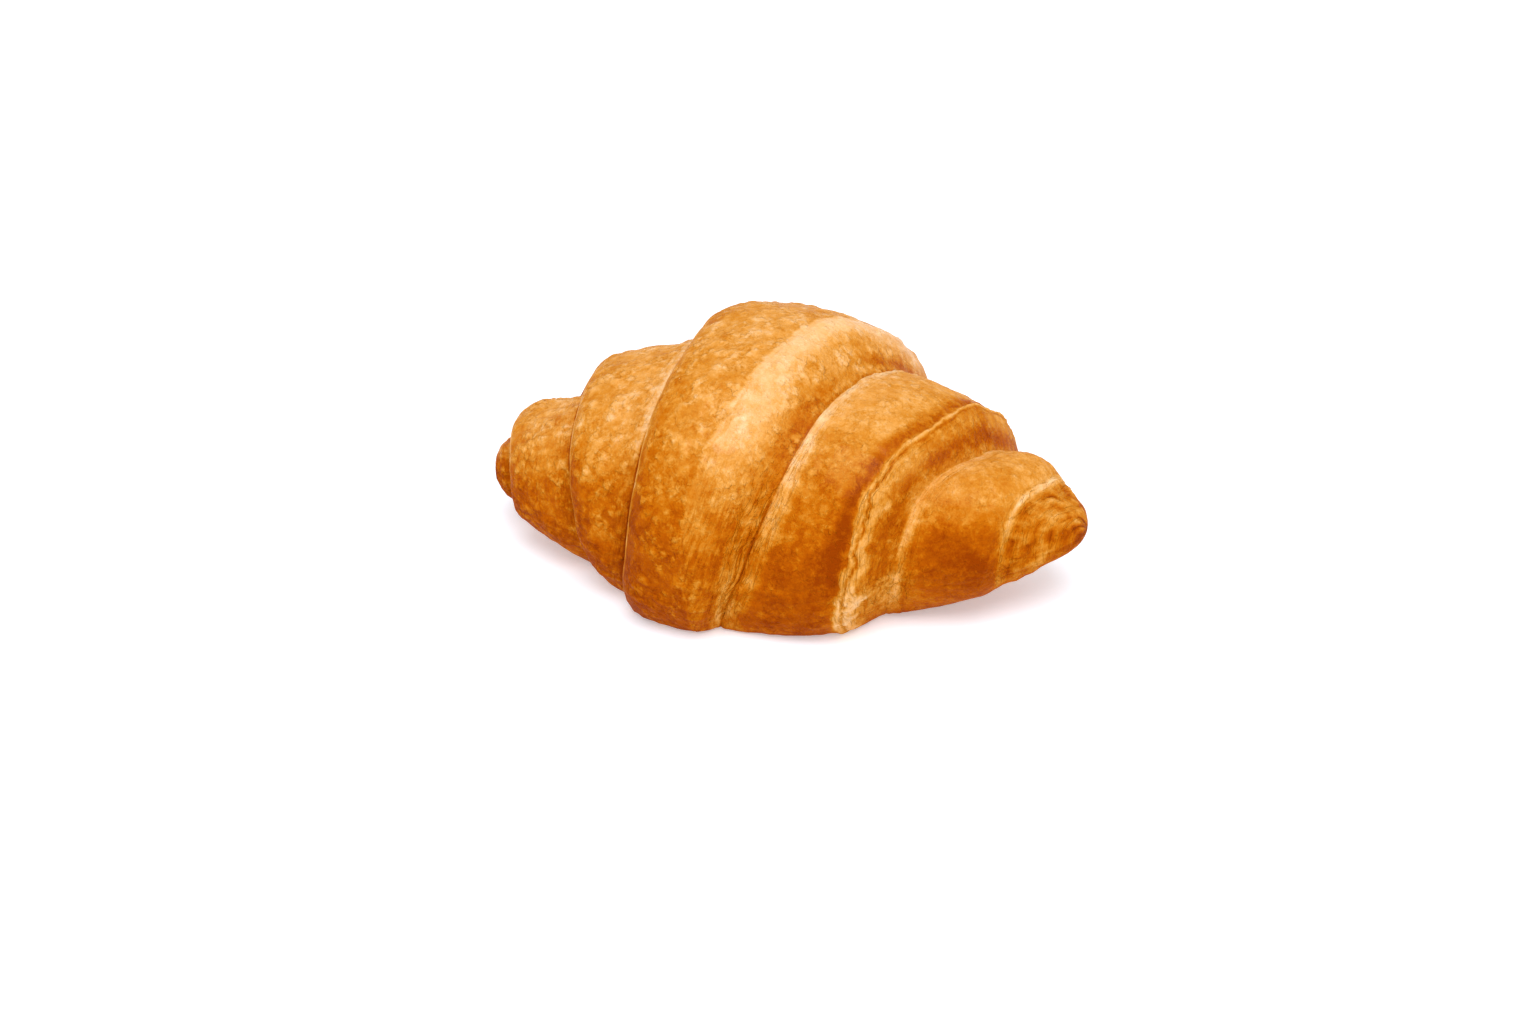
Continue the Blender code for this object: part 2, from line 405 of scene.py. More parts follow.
flaking = middle_wrap * between(degrees, 40.0, 75.0) * between(over_lip, 0.55, 0.75)
flake_waves = np.sin((ragged_edge + 0.8 * cloud(5.0, 17)) * TURN / FLAKE_SPACING)
leaf += 0.20 * flaking * flake_waves * np.clip(0.7 + cloud(4.0, 18), 0.2, 1.3)
print("vertices in the flaking part:", int((flaking > 0.5).sum()))

# %% [markdown]
# The second wrap has the strongest edge. One clean cord runs over the top, and going
# down the side it tears into two, with a crack between them. `torn` is how far over the
# lip a place is, with that tearing in it. Where the wrap comes out from under the
# middle one, at its foot, three more leaves lie side by side.

# %% Second wrap: torn edge and foot
FOOT_LEAVES = ((0.55, 0.60), (1.55, 0.45), (2.5, 0.25))
FOOT_LEAF_WIDTH = 0.34

tearing = 0.16 * cloud(6.0, 15) + 0.07 * cloud(2.0, 16)
torn = over_lip - tearing * (0.35 + 0.65 * down_side)
upper_cord = (0.48 + 0.27 * down_side) * hump(torn, 0.07, 0.075) * patchy
lower_cord = (0.10 + 0.45 * down_side) * hump(torn, 0.31, 0.10) * (1.4 - patchy)
grooves = 0.20 * hump(over_lip, -0.09, 0.07) + 0.36 * hump(torn, 0.18, 0.05) * down_side
leaf += only_on(second_wrap, upper_cord + lower_cord - grooves)

foot_width = 1.25 + 1.3 * between(degrees, 20.0, 65.0)
for place_out, tall in FOOT_LEAVES:
    foot_leaf = tall * hump(ragged_fold / foot_width, place_out, FOOT_LEAF_WIDTH)
    leaf += only_on(second_wrap, foot_leaf * patchy)
print("tallest leaf so far:", round(float(leaf.max()), 2), "mm")

# %% [markdown]
# The tip is the last turn of thin dough. It has a raised rim where it starts, then ribs
# that wind round it. Even ribs would look turned on a lathe, so their places wander,
# they fade in and out, and crumpled noise is added. The nub at the left end is simpler.
# Last come the blisters, high on open skin and flat on the lips.

# %% Third wrap, tips and blisters
THIRD_SPACING, RIB_SPACING, NUB_SPACING = 2.1, 3.4, 3.0
BLISTER_MM = 0.30

third_lip = 0.75 * hump(to_edge + 0.3 * ragged, 0.2, 0.85)
third_foot = 0.22 * low * np.sin(ragged_fold * TURN / THIRD_SPACING) * fading(from_fold, 3.0, 6.0)
leaf += only_on(third_wrap, (third_lip + third_foot) * patchy)

rib_phase = from_fold * TURN / RIB_SPACING + around + 2.6 * ragged + 2.0 * cloud(5.0, 24)
spiral = np.sin(rib_phase) * np.clip(0.6 + 1.5 * cloud(4.0, 14), 0.0, 1.2)
crumpled = cloud(3.4, 22) + 0.6 * cloud(1.7, 23)
past_rim = between(from_fold, 0.6, 1.8)
tip_rim = 0.75 * hump(from_fold, -0.2, 0.85) * patchy
leaf += only_on(tip_wrap, tip_rim + (0.60 * spiral + 0.70 * crumpled) * past_rim)

nub_ribs = np.sin(from_fold * TURN / NUB_SPACING + around + 2.0 * ragged)
leaf += only_on(left_tip, 0.55 * nub_ribs)
leaf += only_on(left_wraps, 0.25 * hump(to_edge, 0.8, 0.45))

blister_share = np.where(left_side | middle_wrap, 1.0, 0.45) * fading(over_lip, 0.55, 0.8)
leaf += BLISTER_MM * bubble * blister_share
leaf *= softening
print("leaf relief from", round(float(leaf.min()), 2), "to", round(float(leaf.max()), 2), "mm")

# %% [markdown]
# ## Put the crust in place
#
# The radius is the plump roll, less the drop over the lip and the tuck beneath it, plus
# the relief. The lip of the left-hand wraps leans out over its fold by about a
# millimetre, which casts a thin dark line there; the colour adds a line of painted shade
# in the same crease.

# %% Shape the crust
SWELL_MM, PUCKER_MM = 0.65, 0.26
LEFT_LEAN, RIGHT_LEAN = 1.25, 0.35
TUCK_CURVE, SLUMP_SHARE, TIP_SPAN = 1.6, 0.8, 12.0

rolled_over = 1.0 - np.sqrt(1.0 - curl ** 2)
slumped = (1.0 - np.cos(math.pi * curl ** 1.25)) / 2.0
right_lip = (1.0 - SLUMP_SHARE) * rolled_over + SLUMP_SHARE * slumped
lip_shape = np.where(left_side, rolled_over, right_lip)
lip_drop = np.where(layer < 3, fold_depth(left_side, own_wound) * lip_shape, 0.0)
span = np.where(layer < 3, own - above, TIP_SPAN)
tuck = np.clip(1.0 - from_fold / np.maximum(span, 1.0), 0.0, 1.0) ** TUCK_CURVE
tuck = np.where(layer > 0, fold_depth(left_side, above_wound) * tuck, 0.0)
radius = np.maximum(plump - (lip_drop + tuck) * softening, 0.0)
radius += np.minimum(plump / 12.0, 1.0) * (SWELL_MM * swell + PUCKER_MM * pucker)
radius += np.minimum(plump / 8.0, 1.0) * leaf

lean_out = np.where(left_side, LEFT_LEAN, RIGHT_LEAN) * np.sin(math.pi * curl ** 1.4) * softening
lean_out = np.where(layer < 3, lean_out, 0.0)
print("radius up to", round(float(radius.max()), 1), "mm, lip leans", round(float(lean_out.max()), 2), "mm")

# %% [markdown]
# Now the numbers become a place. A cross-section is a little squarer than a circle on
# top and flatter below, both tips bend gently, and whatever would sink through the tray
# is pressed flat, with a soft bend where the foot meets it. At the end the crust is
# centred on the model's box, so that both sit in the same spot.

# %% Carry the vertices to their places
share = np.where(left_side, -along / LEFT_LENGTH, along / RIGHT_LENGTH)
side, lift = np.sin(around), np.cos(around)
out = np.sign(side) * np.abs(side) ** (2.0 / DOME_SQUARENESS)
dome = DOME_SHARE * np.abs(lift) ** (2.0 / DOME_SQUARENESS)
foot = -FOOT_SHARE * np.abs(lift) ** (2.0 / FOOT_SQUARENESS)
rise = np.where(left_side, LEFT_TIP_RISE, RIGHT_TIP_RISE) * share ** 2
height = CENTRE_HEIGHT + rise + radius * np.where(lift > 0.0, dome, foot)
rounded = (height + FOOT_FILLET) ** 2 / (4.0 * FOOT_FILLET)
height = np.where(height > FOOT_FILLET, height, np.where(height < -FOOT_FILLET, 0.0, rounded))

place = np.stack([
    along + np.where(left_side, -lean_out, lean_out),
    TIP_SWEEP * share ** 2 - WIDTH_SHARE * radius * out,
    height,
], axis=1) * MM
middle = (np.array(cad_box[0]) + np.array(cad_box[1])) / 2.0
least, most = place.min(axis=0), place.max(axis=0)
place += [middle[0] - (least[0] + most[0]) / 2.0, middle[1] - (least[1] + most[1]) / 2.0, -least[2]]
crust.data.vertices.foreach_set("co", place.ravel())
crust.data.update()
print("crust:", [round(float(v) * 1000, 1) for v in place.max(axis=0) - place.min(axis=0)], "mm")

# %% [markdown]
# ## How brown and how shaded each place is
#
# One number says how far each place has baked, with painted shade added in: 0 is pale
# stretched dough, 1 is the darkest crust. The sides low down are darkest, partly from the
# oven's browning and partly as painted shade where less light reaches them; the top is
# golden, and the foot stays paler where it met the tray. Painting this by hand would
# drift off the folds, so it is worked out from the same measures that made them.
# First comes the bake of a plain roll, which goes by the angle alone.

# %% The plain bake, with painted shade low on the sides
BAKE_DEGREES = (0, 40, 58, 80, 98, 115, 140, 180)
# Low on the sides these levels are partly browning and partly painted shade.
BAKE_AND_SHADE_LEVELS = (0.50, 0.55, 0.675, 0.87, 0.955, 0.95, 0.90, 0.88)

browning = flowing_curve(BAKE_DEGREES, BAKE_AND_SHADE_LEVELS, degrees)
browning += 0.05 * swell + 0.06 * pucker + 0.05 * ragged
open_crust = browning.copy()
print("plain bake from", round(float(browning.min()), 2), "to", round(float(browning.max()), 2))

# %% [markdown]
# On the left, each fold is drawn by three things: a thin dark line of painted shade at the
# bottom of the crease, a pale rim where the skin bends over the lip, and paler dough on top
# where the rising roll has newly pulled it out from under the wrap above. Lower down and on
# the deeper wraps, the dough just out of the fold is painted a little darker instead, as
# painted shade.

# %% Bake and shade the left side
CREASE_SHADE = 0.65

open_skin = (layer == 0) & (left_side | (over_lip < -0.01))
browning += only_on(open_skin, 0.035 * between(degrees, 5.0, 35.0))

# Painted shade: a thin dark line along the bottom of each left-hand crease.
crease_shade_mask = np.where(from_fold < to_edge, hump(from_fold, 0.45, 0.36), hump(to_edge, 0.0, 0.6))
browning += only_on(left_side, CREASE_SHADE * crease_shade_mask * between(degrees, -4.0, 14.0))

browned_lip = 0.11 * hump(ragged_edge, 5.0, 3.4)
pale_rim = (0.20 + 0.16 * between(degrees, 35.0, 60.0)) * hump(to_edge, 1.8, 0.6)
browning += only_on(left_wraps, browned_lip - pale_rim)

pulled_out = fading(from_fold + 0.5 * ragged, 1.2, 4.2)
# The upper term is paler pulled-out dough; the 0.07 term darkens the dough beside the fold as painted
# shade.
pulled_pale_and_fold_shade = (0.38 * upper * (layer == 1) - 0.07) * pulled_out
browning -= only_on(left_side & (layer > 0), pulled_pale_and_fold_shade)
browning += only_on(left_tip, 0.10 - 0.30 * fading(from_fold, 0.3, 1.6))
print("vertices in left-hand creases:", int((left_side & (crease_shade_mask > 0.5)).sum()))

# %% [markdown]
# The middle wrap carries the palest part of all: a wide band beside its lip, where the
# skin stretched late and had little time to brown. It is widest at the side and narrows
# over the top, and near the top it is paler still, partly as a painted highlight. Beyond it
# the valley down to the second wrap is dark, partly from browning and partly as painted
# shade, except low down, where light dough shows again. The crease at the lip's edge and
# the groove of the fringe get a thin line of painted shade, and the fringe's first ridge a
# painted highlight.

# %% Bake and shade the middle wrap
band_end = 0.24 + 0.18 * between(degrees, 5.0, 40.0)
fresh = between(fringe, -0.03, 0.07) * fading(over_lip, band_end, band_end + 0.33)
# Paler toward the top: partly stretched dough, partly a painted highlight.
band_pale_and_highlight = 0.10 + 0.10 * fading(degrees, 32.0, 70.0) + 0.13 * fading(degrees, 12.0, 36.0)
foot_pale = 0.30 * low * between(over_lip, 0.5, 0.75)
browning -= only_on(middle_wrap, band_pale_and_highlight * fresh + foot_pale)

browned_skin = 0.05 * between(degrees, 45.0, 75.0) * fading(over_lip, -0.1, 0.0)
# Painted shade in the fringe's groove and a painted highlight on its first ridge.
fringe_shade_and_highlight = 0.06 * hump(fringe, 0.07, 0.02) - 0.04 * hump(fringe, 0.02, 0.02)
valley_share = (0.55 + 0.45 * between(degrees, 0.0, 23.0)) * (1.0 - 0.9 * between(degrees, 36.0, 68.0))
# The valley is dark partly from browning and partly as painted shade; the crease line is painted shade.
valley_bake_and_shade = 0.30 * hump(over_lip, 0.84, 0.12) * valley_share
lip_crease_shade = 0.25 * hump(to_edge, 0.0, 0.6)
browning += only_on(middle_wrap, browned_skin + fringe_shade_and_highlight + valley_bake_and_shade + lip_crease_shade)
browning -= flaking * (0.10 + 0.08 * flake_waves)
print("vertices in the pale band:", int((middle_wrap & (fresh > 0.5)).sum()))

# %% [markdown]
# The second wrap starts pale at its foot, swells into a dark orange belly, and ends in
# the pale cord of its torn edge. The crack beside the cord is dark as painted shade, and
# the valley past it is dark partly from browning and partly as painted shade.

# %% Bake and shade the second wrap
foot_strip = fading(ragged_fold / foot_width, 0.9, 2.6) * np.clip(0.85 + 0.6 * cloud(5.0, 19), 0.3, 1.2)
strip_pale = (0.30 + 0.10 * hump(degrees, 38.0, 22.0)) * foot_strip
shoulder_pale = 0.15 * hump(degrees, 24.0, 18.0) * fading(ragged_fold, 2.0, 7.0)
under_pale = 0.06 * between(degrees, 88.0, 106.0)
browning -= only_on(second_wrap, strip_pale + shoulder_pale + under_pale)

belly = 0.32 * hump(over_lip, -0.26, 0.28) * (1.0 - low)
front = 0.09 * between(degrees, 20.0, 45.0) * fading(over_lip, -0.2, 0.0) * (1.0 - foot_strip)
crown = 0.13 * between(over_lip, -0.4, -0.1) * fading(degrees, 6.0, 40.0)
browning += only_on(second_wrap, belly + front + crown)

cut_edge = between(torn, -0.03, 0.02) * fading(torn, 0.40, 0.52)
edge_pale = 0.36 * cut_edge * between(degrees, 32.0, 76.0)
cord_pale = 0.34 * hump(torn, 0.08, 0.055) * (1.0 - 0.8 * down_side)
low_pale = 0.34 * low * between(over_lip, -0.1, 0.3)
browning -= only_on(second_wrap, edge_pale + cord_pale + low_pale)

# Painted shade in the crack beside the cord.
crack_shade = (0.18 + 0.20 * down_side) * hump(torn, 0.18, 0.035)
past_cord = 0.05 * between(over_lip, 0.10, 0.22) * fading(degrees, 17.0, 52.0)
# The valley past the cord: partly browning, partly painted shade.
next_valley_bake_and_shade = 0.31 * hump(over_lip, 0.72, 0.18) * (1.0 - 0.8 * between(degrees, 45.0, 82.0))
browning += only_on(second_wrap, crack_shade + past_cord + next_valley_bake_and_shade)
print("vertices on the cut edge:", int((second_wrap & (cut_edge > 0.5)).sum()))

# %% [markdown]
# The third wrap is pale where it comes out and at its lip, with a brown belly between.
# The tip has a pale rim with a dark line inside it, and its ribs are pale on their
# backs. The blisters lifted away from the heat of the dough, so their caps are paler.
# Under the roll everything eases back to the plain bake.

# %% Bake the third wrap and the tip
third_belly = 0.15 * hump(degrees, 88.0, 24.0) * between(from_fold, 4.0, 7.0)
third_new = (0.12 + 0.24 * between(degrees, 48.0, 75.0)) * fading(ragged_fold, 1.2, 3.5)
third_low = 0.14 * between(degrees, 82.0, 104.0) * fading(from_fold, 4.0, 12.0)
third_edge = 0.38 * hump(to_edge + 0.3 * ragged, 0.1, 0.8)
browning += only_on(third_wrap, third_belly - third_new - third_low - third_edge)

rim_colour = 0.14 * hump(from_fold, 1.7, 0.6) - 0.42 * hump(from_fold, -0.2, 0.9)
rib_pale = 0.16 * (spiral + crumpled) * past_rim
tip_bake = 0.12 * fading(degrees, 20.0, 60.0) - 0.24 * between(degrees, 60.0, 100.0)
nose = 0.16 * between(along, RIGHT_LENGTH - 6.0, RIGHT_LENGTH - 1.0)
browning += only_on(tip_wrap, rim_colour - rib_pale + tip_bake + nose)

cap_share = np.where(left_side | middle_wrap, 1.0, 0.5) * (1.0 - 0.5 * only_on(middle_wrap, fresh))
browning -= 0.13 * bubble * cap_share
browning = open_crust + (browning - open_crust) * showing
print("browning from", round(float(browning.min()), 2), "to", round(float(browning.max()), 2))

# %% [markdown]
# ## Where the skin is leafy, stretched, blistered or glazed
#
# Browning alone doesn't say what the surface is like. `leafy` is where the cut layers
# show; `stretched` is where the dough was pulled; `blistered` is where the skin
# bubbled; `glazed` is where egg wash pooled and shines.

# %% Four more measures
middle_leaves = np.maximum(flaking, 0.7 * low * between(over_lip, 0.4, 0.6))
second_leaves = np.maximum(cut_edge * (0.35 + 0.55 * down_side), 0.8 * foot_strip)
second_leaves = np.maximum(second_leaves, low * between(over_lip, 0.0, 0.15))
third_leaves = np.maximum(hump(to_edge, 0.2, 1.2), 0.8 * low * fading(from_fold, 3.0, 6.0))
leafy = only_on(middle_wrap, middle_leaves) + only_on(second_wrap, second_leaves)
leafy += only_on(third_wrap, third_leaves) + only_on(tip_wrap, 0.55)

band_stretch = between(fringe, 0.0, 0.1) * (0.2 + 0.8 * between(degrees, 42.0, 70.0))
stretched = only_on(middle_wrap, band_stretch) + only_on(layer > 0, fading(from_fold, 3.0, 6.0))
stretched = np.clip(np.maximum(stretched, leafy), 0.0, 1.0)

right_blisters = np.where(middle_wrap, 1.0 - 0.3 * fresh, np.where(second_wrap, 0.75, 0.5))
blistered = np.where(left_side, 1.0, right_blisters) * (1.0 - leafy)

washed = np.where(left_side | middle_wrap, 0.17, 0.08) * hump(degrees, 36.0, 18.0)
pooled = only_on(middle_wrap, 0.40 * fresh * hump(degrees, 33.0, 22.0))
off_the_lip = np.where(left_side, 1.0 - ease(curl * 2.0), 1.0)
glazed = (washed + pooled) * (1.0 - 0.7 * leafy) * showing * off_the_lip

leafy, stretched = leafy * showing, stretched * showing
blistered = 0.5 + (blistered - 0.5) * showing
print("glaze up to", round(float(glazed.max()), 2))

# %% [markdown]
# ## Hand the measures to the material
#
# The numbers ride on the mesh as attributes, one value at each vertex, so the material
# can follow the folds exactly. `flow` measures across the fold and along it, so that
# stretch marks and cracks run beside it.

# %% Attributes on the crust
beside = np.where(to_edge < from_fold, to_edge, -from_fold)
flow = np.stack([beside, signed_angle * plump, along * 0.2], axis=1).astype(np.float32)
measures = {
    "browning": browning, "leafy": leafy, "stretched": stretched,
    "blistered": blistered, "glazed": glazed,
}
attributes = crust.data.attributes
for name, values in measures.items():
    attributes.new(name, "FLOAT", "POINT").data.foreach_set("value", values.astype(np.float32))
attributes.new("flow", "FLOAT_VECTOR", "POINT").data.foreach_set("vector", flow.ravel())
print("attributes:", [item.name for item in attributes if not item.name.startswith(".")])

# %% [markdown]
# ## Close the roll
#
# The first and last columns of the sheet now lie on each other along the top, and each
# end row has shrunk to a point. Merging vertices that share a place closes the seam and
# both tips, so the crust becomes one watertight skin. Then its normals are turned
# outwards, the edges that are still open are counted, and it is shaded smooth.

# %% Merge the seam and the tips
SAME_PLACE = MM / 1000.0

bpy.ops.object.mode_set(mode="EDIT")
bpy.ops.mesh.select_all(action="SELECT")
bpy.ops.mesh.remove_doubles(threshold=SAME_PLACE)
bpy.ops.mesh.dissolve_degenerate(threshold=SAME_PLACE / 10.0)
bpy.ops.mesh.normals_make_consistent(inside=False)
bpy.ops.mesh.select_all(action="DESELECT")
bpy.ops.mesh.select_mode(type="EDGE")
bpy.ops.mesh.select_non_manifold()
bpy.ops.object.mode_set(mode="OBJECT")
print("open edges left:", sum(edge.select for edge in crust.data.edges))
bpy.ops.object.shade_smooth()
crust.data.calc_loop_triangles()
print("closed crust:", len(crust.data.vertices), "vertices,", len(crust.data.loop_triangles), "triangles")

# %% [markdown]
# ## Writing a material as arithmetic
#
# Blender builds materials from nodes joined by wires. A long net of Math nodes is hard
# to read, so this small class wraps one wire: adding or multiplying wires adds the
# nodes. Everything else comes from `add`, which takes a node's type, its settings and
# what goes into its sockets.

# %% Wires and recipes
class Wire:
    def __init__(self, recipe, socket):
        self.recipe, self.socket = recipe, socket

    def sum(self, operation, *values):
        return self.recipe.add("ShaderNodeMath", {"operation": operation}, dict(enumerate(values)))

    def size(self):
        return self.sum("ABSOLUTE", self)

    def __add__(self, other):
        return self.sum("ADD", self, other)

    def __sub__(self, other):
        return self.sum("SUBTRACT", self, other)

    def __rsub__(self, other):
        return self.sum("SUBTRACT", other, self)

    def __mul__(self, other):
        return self.sum("MULTIPLY", self, other)

    def __truediv__(self, other):
        return self.sum("DIVIDE", self, other)

    __radd__, __rmul__ = __add__, __mul__


class Recipe:
    def __init__(self, name):
        self.material = bpy.data.materials.new(name)
        self.material.use_nodes = True
        self.nodes, self.links = self.material.node_tree.nodes, self.material.node_tree.links
        self.shader = self.nodes["Principled BSDF"]

    def feed(self, socket, value):
        if isinstance(value, Wire):
            self.links.new(value.socket, socket)
        else:
            socket.default_value = value

    def add(self, kind, settings=None, sockets=None, output=0):
        node = self.nodes.new(kind)
        for name, value in (settings or {}).items():
            if name == "stops":
                ramp = node.color_ramp
                ramp.elements[0].position, ramp.elements[0].color = value[0]
                ramp.elements[1].position, ramp.elements[1].color = value[-1]
                for position, colour in value[1:-1]:
                    ramp.elements.new(position).color = colour
            else:
                setattr(node, name, value)
        for name, value in (sockets or {}).items():
            self.feed(node.inputs[name], value)
        return Wire(self, node.outputs[output])

    def attribute(self, name, output="Fac"):
        return self.add("ShaderNodeAttribute", {"attribute_name": name}, output=output)

    def ramp_between(self, value, low, high):
        sockets = {"Value": value, "From Min": low, "From Max": high}
        return self.add("ShaderNodeMapRange", {"interpolation_type": "SMOOTHSTEP"}, sockets)


print("wires and recipes are ready")

# %% [markdown]
# ## Crust
#
# The colour of bread goes one way as it bakes: cream, gold, orange brown, dark brown.
# So the browning number, which also holds painted shade and painted highlights, goes
# through one colour ramp, and everything else only nudges that number. The same patterns
# raise a fine bump, so colour and relief agree.
#
# First the patterns that cover all of the skin: soft blotches, freckles, fine grit, and
# round blister caps. The places where the caps are read are bent by noise, because
# clean round cells would look like scales.

# %% Patterns on the skin
BENDS_PER_METRE, BEND_MM = 700.0, 2.0

crust_recipe = Recipe("baked_crust")
spot = crust_recipe.add("ShaderNodeTexCoord", output="Object")


def vector_maths(operation, first, second):
    sockets = {0: first, "Scale" if operation == "SCALE" else 1: second}
    return crust_recipe.add("ShaderNodeVectorMath", {"operation": operation}, sockets)


def grain(size_mm, detail=2.0, rough=0.5, warp=0.0):
    sockets = {"Vector": spot, "Scale": 1000.0 / size_mm, "Detail": detail}
    sockets.update({"Roughness": rough, "Distortion": warp})
    return crust_recipe.add("ShaderNodeTexNoise", None, sockets) - 0.5


def caps(size_mm, top, rim):
    sockets = {"Vector": bent_spot, "Scale": 1000.0 / size_mm}
    distance = crust_recipe.add("ShaderNodeTexVoronoi", {"feature": "F1"}, sockets, "Distance")
    return 1.0 - crust_recipe.ramp_between(distance, top, rim)


wobble_sockets = {"Vector": spot, "Scale": BENDS_PER_METRE, "Detail": 1.0}
wobble = crust_recipe.add("ShaderNodeTexNoise", None, wobble_sockets, "Color")
wobble = vector_maths("SUBTRACT", wobble, (0.5, 0.5, 0.5))
bent_spot = vector_maths("ADD", spot, vector_maths("SCALE", wobble, BEND_MM * MM))

blotches = grain(6.5, 3.0, 0.62)
freckles = grain(1.5, 2.0, 0.6)
grit = grain(0.45, 1.0, 0.6)
patch = crust_recipe.ramp_between(grain(4.5, 1.0), -0.22, 0.08)
cap, small_cap = caps(2.6, 0.20, 0.58), caps(1.0, 0.15, 0.50)
print("nodes so far:", len(crust_recipe.nodes))

# %% [markdown]
# A wrinkle is a line, and a line can be had from noise: where noise passes through its
# middle value, its size is nearly nothing, so a narrow step there draws a winding
# thread. The wide ones are furrows, darkened as painted shade, and the fine ones are
# ridges, paled as a painted highlight. The same trick on noise that is drawn out along
# the fold gives the cracks between the leaves, darkened as painted shade.

# %% Wrinkles, streaks and cracks
# This number holds the bake together with the painted shade and painted highlights.
baked_and_shaded = crust_recipe.attribute("browning")
leafy_wire = crust_recipe.attribute("leafy")
stretched_wire = crust_recipe.attribute("stretched")
blister_wire = crust_recipe.attribute("blistered")
flow_wire = crust_recipe.attribute("flow", "Vector")


def thread(noise, width):
    return 1.0 - crust_recipe.ramp_between(noise.size(), 0.0, width)


def drawn_out(across, beside_fold, detail, rough, warp):
    sockets = {"Vector": vector_maths("MULTIPLY", flow_wire, (across, beside_fold, 1.0)), "Scale": 1.0}
    sockets.update({"Detail": detail, "Roughness": rough, "Distortion": warp})
    return crust_recipe.add("ShaderNodeTexNoise", None, sockets) - 0.5


skin_patch = patch * (blister_wire * 0.8 + 0.2)
furrow = thread(grain(2.9, 1.0, 0.5, 0.8), 0.075) * skin_patch
ridge = thread(grain(1.3, 0.0, 0.5, 0.8), 0.11) * skin_patch
streaks = drawn_out(1.6, 0.16, 3.0, 0.6, 0.5) * stretched_wire
cracks = thread(drawn_out(0.62, 0.13, 2.0, 0.55, 0.7), 0.075) * leafy_wire
print("nodes so far:", len(crust_recipe.nodes))

# %% [markdown]
# Now the patterns nudge the browning number, and the ramp turns it into colour. Its
# stops go a little past 1, so that the darkest nudges still have a colour to go to. Red
# falls slowly along the ramp and blue is gone early, which is why a crust is orange
# before it is brown.

# %% Colour
BLOTCH_BROWN, FRECKLE_BROWN, STREAK_BROWN, GRIT_BROWN = 0.28, 0.32, 0.55, 0.18
# Furrows and cracks are darkened as painted shade; fine ridges are paled as a painted highlight.
FURROW_SHADE, RIDGE_HIGHLIGHT, CRACK_SHADE, ALL_BROWN = 0.09, 0.10, 0.10, 0.04
DARKEST = 1.15
CREAM_TO_BROWN = (
    (0.00, (0.90, 0.59, 0.30, 1.0)),
    (0.20, (0.855, 0.48, 0.198, 1.0)),
    (0.42, (0.750, 0.345, 0.076, 1.0)),
    (0.60, (0.620, 0.231, 0.022, 1.0)),
    (0.78, (0.510, 0.139, 0.0026, 1.0)),
    (0.92, (0.420, 0.087, 0.0005, 1.0)),
    (DARKEST, (0.275, 0.041, 0.0001, 1.0)),
)

level = baked_and_shaded + blotches * BLOTCH_BROWN + freckles * FRECKLE_BROWN + streaks * STREAK_BROWN
level = level - cap * patch * (blister_wire * 0.15 + 0.03) - small_cap * (blister_wire * 0.04 + 0.02)
# Painted shade in furrows and cracks, painted highlight on fine ridges.
level = level + furrow * FURROW_SHADE - ridge * RIDGE_HIGHLIGHT + cracks * CRACK_SHADE
level = level + grit * GRIT_BROWN + ALL_BROWN

stops = [(position / DARKEST, colour) for position, colour in CREAM_TO_BROWN]
colour = crust_recipe.add("ShaderNodeValToRGB", {"stops": stops}, {"Fac": level / DARKEST}, "Color")
crust_recipe.feed(crust_recipe.shader.inputs["Base Color"], colour)
print("stops on the ramp:", len(stops))

# %% [markdown]
# The relief is in millimetres, which is what the bump node's distance of a millimetre
# says. Crust is dull, so nearly all of its shine is the thin coat of egg wash.

# %% Relief and shine
FRECKLE_MM, GRIT_MM, STREAK_MM, CRACK_MM = 0.30, 0.13, 0.45, 0.24
SMALL_CAP_MM, FURROW_MM, RIDGE_MM = 0.09, 0.06, 0.07
DULLNESS, LEAF_DULLNESS, FRECKLE_SHINE = 0.48, 0.2, 0.15
COAT_ROUGHNESS, SKIN_SHINE = 0.24, 0.010

relief = cap * patch * (blister_wire * 0.24 + 0.06) + small_cap * SMALL_CAP_MM
relief = relief - furrow * FURROW_MM + ridge * RIDGE_MM - cracks * CRACK_MM
relief = relief + freckles * FRECKLE_MM + grit * GRIT_MM + streaks * STREAK_MM
bump_sockets = {"Strength": 1.0, "Distance": MM, "Height": relief}
bump = crust_recipe.add("ShaderNodeBump", None, bump_sockets, "Normal")
dullness = DULLNESS + leafy_wire * LEAF_DULLNESS - freckles * FRECKLE_SHINE

crust_recipe.feed(crust_recipe.shader.inputs["Normal"], bump)
crust_recipe.feed(crust_recipe.shader.inputs["Roughness"], dullness)
crust_recipe.feed(crust_recipe.shader.inputs["Coat Weight"], crust_recipe.attribute("glazed"))
crust_recipe.feed(crust_recipe.shader.inputs["Coat Roughness"], COAT_ROUGHNESS)
crust_recipe.feed(crust_recipe.shader.inputs["Specular IOR Level"], SKIN_SHINE)

crust.data.materials.clear()
crust.data.materials.append(crust_recipe.material)
print("nodes in the crust material:", len(crust_recipe.nodes))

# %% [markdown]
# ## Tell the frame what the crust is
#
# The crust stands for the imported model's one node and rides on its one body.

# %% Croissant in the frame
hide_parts("croissant")
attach(crust, "root")
print("the crust replaces the node croissant")

# %% [markdown]
# ## A sheet of white card
#
# The croissant rests on white card. A real card in a bright studio is so light that its
# far edge can't be seen, so this one is a large plane that glows a little by itself.
# The glow also fills the underside of the roll, as a real card would. Its colour leans
# to blue by a hair, to cancel the orange that the crust throws down onto it.

